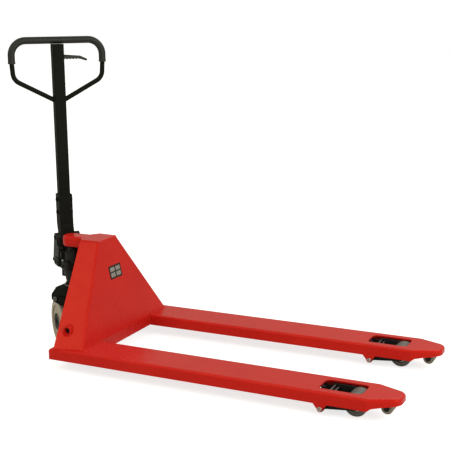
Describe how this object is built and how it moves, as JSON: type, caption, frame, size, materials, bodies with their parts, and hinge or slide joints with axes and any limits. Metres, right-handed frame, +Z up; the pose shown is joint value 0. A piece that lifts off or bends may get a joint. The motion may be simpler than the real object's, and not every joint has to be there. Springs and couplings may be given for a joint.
{
  "type": "pallet jack",
  "caption": "Hand pallet jack: forked lifting frame with load rollers on linkages, steered hydraulic pump unit and a pull-down loop handle.",
  "frame": {"origin": "on the floor, under the middle of the overall box, with the forks lowered and the handle upright", "axes": "+X from the handle towards the fork tips, +Y towards the left fork seen from the handle, +Z up"},
  "size_m": [1.664, 0.688, 1.226],
  "materials": {
    "red_paint": "semi-gloss red powder coat",
    "black_paint": "satin black paint",
    "grip_rubber": "matte moulded rubber",
    "steer_tyre": "pale grey-beige polyurethane",
    "hub_black": "dark hub cap and bearing",
    "load_roller": "grey polyurethane",
    "bright_steel": "zinc plated",
    "ram_chrome": "hard chromed, polished",
    "dark_steel": "painted casting",
    "plate_aluminium": "blank anodised plate",
    "nylon": "natural nylon",
    "lever_plastic": "black moulded plastic"
  },
  "bodies": {
    "thrust_base": {"thrust_plate": "black_paint", "thrust_bearing": "bright_steel", "rocker_pins": "bright_steel"},
    "chassis": {"left_fork": "red_paint", "right_fork": "red_paint", "frame_panel": "red_paint", "top_plate": "red_paint", "ram_seat": "dark_steel", "shaft_collars": "red_paint", "cross_member": "red_paint", "rating_plate": "plate_aluminium", "link_pins": "bright_steel", "entry_brackets": "red_paint", "entry_axles": "bright_steel"},
    "rocker": {"rocker_frame": "black_paint", "rocker_shaft": "bright_steel", "rod_pins": "bright_steel"},
    "steer_unit": {"pump_body": "dark_steel", "ram_gland": "bright_steel", "wheel_axle": "bright_steel", "axle_circlips": "bright_steel", "tiller_pin": "bright_steel", "pivot_bushes": "nylon", "filler_plug": "bright_steel", "release_valve": "bright_steel", "release_pin": "bright_steel"},
    "ram": {"ram": "ram_chrome"},
    "plunger": {"plunger": "bright_steel", "plunger_cap": "bright_steel", "plunger_spring": "bright_steel"},
    "tiller": {"tiller_yoke": "black_paint", "tiller_post": "black_paint", "tiller_loop": "black_paint", "loop_grip": "grip_rubber", "yoke_bolts": "bright_steel", "cam_pin": "bright_steel", "lever_pin": "bright_steel"},
    "cam_roller": {"cam_roller": "bright_steel"},
    "control_lever": {"control_lever": "lever_plastic"},
    "control_rod": {"control_rod": "bright_steel"},
    "release_lever": {"release_lever": "bright_steel"},
    "left_push_rod": {"left_push_rod": "dark_steel"},
    "left_wheel_link": {"left_wheel_link": "dark_steel", "left_link_rod_pin": "bright_steel", "left_roller_axle": "bright_steel"},
    "left_load_roller": {"left_load_tyre": "load_roller", "left_load_bearing": "bright_steel"},
    "left_entry_roller": {"left_entry_roller": "load_roller"},
    "left_steer_wheel": {"left_steer_tyre": "steer_tyre", "left_steer_hub": "hub_black"},
    "right_push_rod": {"right_push_rod": "dark_steel"},
    "right_wheel_link": {"right_wheel_link": "dark_steel", "right_link_rod_pin": "bright_steel", "right_roller_axle": "bright_steel"},
    "right_load_roller": {"right_load_tyre": "load_roller", "right_load_bearing": "bright_steel"},
    "right_entry_roller": {"right_entry_roller": "load_roller"},
    "right_steer_wheel": {"right_steer_tyre": "steer_tyre", "right_steer_hub": "hub_black"}
  },
  "joints": [
    {"name": "lift", "type": "slide", "parent": "thrust_base", "child": "chassis", "axis": [0, 0, 1], "range_m": [0, 0.11]},
    {"name": "steer", "type": "hinge", "parent": "thrust_base", "child": "steer_unit", "pos_m": [-0.62003, 0, 0.24], "axis": [0, 0, 1], "range_deg": [-50, 130]},
    {"name": "ram_slide", "type": "slide", "parent": "steer_unit", "child": "ram", "axis": [0, 0, 1], "range_m": [0, 0.11]},
    {"name": "rocker_pivot", "type": "hinge", "parent": "chassis", "child": "rocker", "pos_m": [-0.45703, 0, 0.146], "axis": [0, 1, 0], "range_deg": [-33.46, 0]},
    {"name": "left_rod_slide", "type": "slide", "parent": "chassis", "child": "left_push_rod", "axis": [1, 0, 0], "range_m": [0, 0.04836]},
    {"name": "left_link_pivot", "type": "hinge", "parent": "chassis", "child": "left_wheel_link", "pos_m": [0.56997, 0.2625, 0.025], "axis": [0, 1, 0], "range_deg": [0, 68.51]},
    {"name": "left_load_roller_spin", "type": "hinge", "parent": "left_wheel_link", "child": "left_load_roller", "pos_m": [0.67797, 0.2625, 0.04], "axis": [0, 1, 0], "continuous": true},
    {"name": "left_entry_roller_spin", "type": "hinge", "parent": "chassis", "child": "left_entry_roller", "pos_m": [0.78197, 0.2625, 0.042], "axis": [0, 1, 0], "continuous": true},
    {"name": "left_steer_wheel_spin", "type": "hinge", "parent": "steer_unit", "child": "left_steer_wheel", "pos_m": [-0.58468, 0.04213, 0.09], "axis": [0.6428, 0.766, 0], "continuous": true},
    {"name": "right_rod_slide", "type": "slide", "parent": "chassis", "child": "right_push_rod", "axis": [1, 0, 0], "range_m": [0, 0.04836]},
    {"name": "right_link_pivot", "type": "hinge", "parent": "chassis", "child": "right_wheel_link", "pos_m": [0.56997, -0.2625, 0.025], "axis": [0, 1, 0], "range_deg": [0, 68.51]},
    {"name": "right_load_roller_spin", "type": "hinge", "parent": "right_wheel_link", "child": "right_load_roller", "pos_m": [0.67797, -0.2625, 0.04], "axis": [0, 1, 0], "continuous": true},
    {"name": "right_entry_roller_spin", "type": "hinge", "parent": "chassis", "child": "right_entry_roller", "pos_m": [0.78197, -0.2625, 0.042], "axis": [0, 1, 0], "continuous": true},
    {"name": "right_steer_wheel_spin", "type": "hinge", "parent": "steer_unit", "child": "right_steer_wheel", "pos_m": [-0.65538, -0.04213, 0.09], "axis": [0.6428, 0.766, 0], "continuous": true},
    {"name": "tiller_pivot", "type": "hinge", "parent": "steer_unit", "child": "tiller", "pos_m": [-0.68284, 0.05271, 0.42], "axis": [-0.6428, -0.766, 0], "range_deg": [0, 75]},
    {"name": "plunger_slide", "type": "slide", "parent": "steer_unit", "child": "plunger", "axis": [0, 0, -1], "range_m": [0, 0.03896], "deforming": ["plunger_spring"]},
    {"name": "cam_roller_spin", "type": "hinge", "parent": "tiller", "child": "cam_roller", "pos_m": [-0.70229, 0.06903, 0.43948], "axis": [-0.6428, -0.766, 0], "continuous": true},
    {"name": "control_lever_pivot", "type": "hinge", "parent": "tiller", "child": "control_lever", "pos_m": [-0.6997, 0.06685, 1.145], "axis": [0.766, -0.6428, 0], "range_deg": [-12, 15]},
    {"name": "control_rod_slide", "type": "slide", "parent": "tiller", "child": "control_rod", "axis": [0, 0, -1], "range_m": [-0.00272, 0.0034]},
    {"name": "release_lever_pivot", "type": "hinge", "parent": "steer_unit", "child": "release_lever", "pos_m": [-0.65527, 0.02957, 0.378], "axis": [-0.6428, -0.766, 0], "range_deg": [-8, 10]}
  ],
  "couplings": [
    {"joint": "ram_slide", "follows": "lift", "ratio": 1},
    {"joint": "rocker_pivot", "follows": "lift", "rad_per_m": -5.3083},
    {"joint": "left_rod_slide", "follows": "lift", "ratio": 0.43959},
    {"joint": "right_rod_slide", "follows": "lift", "ratio": 0.43959},
    {"joint": "left_link_pivot", "follows": "lift", "rad_per_m": 10.871},
    {"joint": "right_link_pivot", "follows": "lift", "rad_per_m": 10.871},
    {"joint": "plunger_slide", "follows": "tiller_pivot", "m_per_rad": 0.029764},
    {"joint": "control_rod_slide", "follows": "control_lever_pivot", "m_per_rad": 0.013},
    {"joint": "release_lever_pivot", "follows": "control_lever_pivot", "ratio": 0.66667}
  ]
}
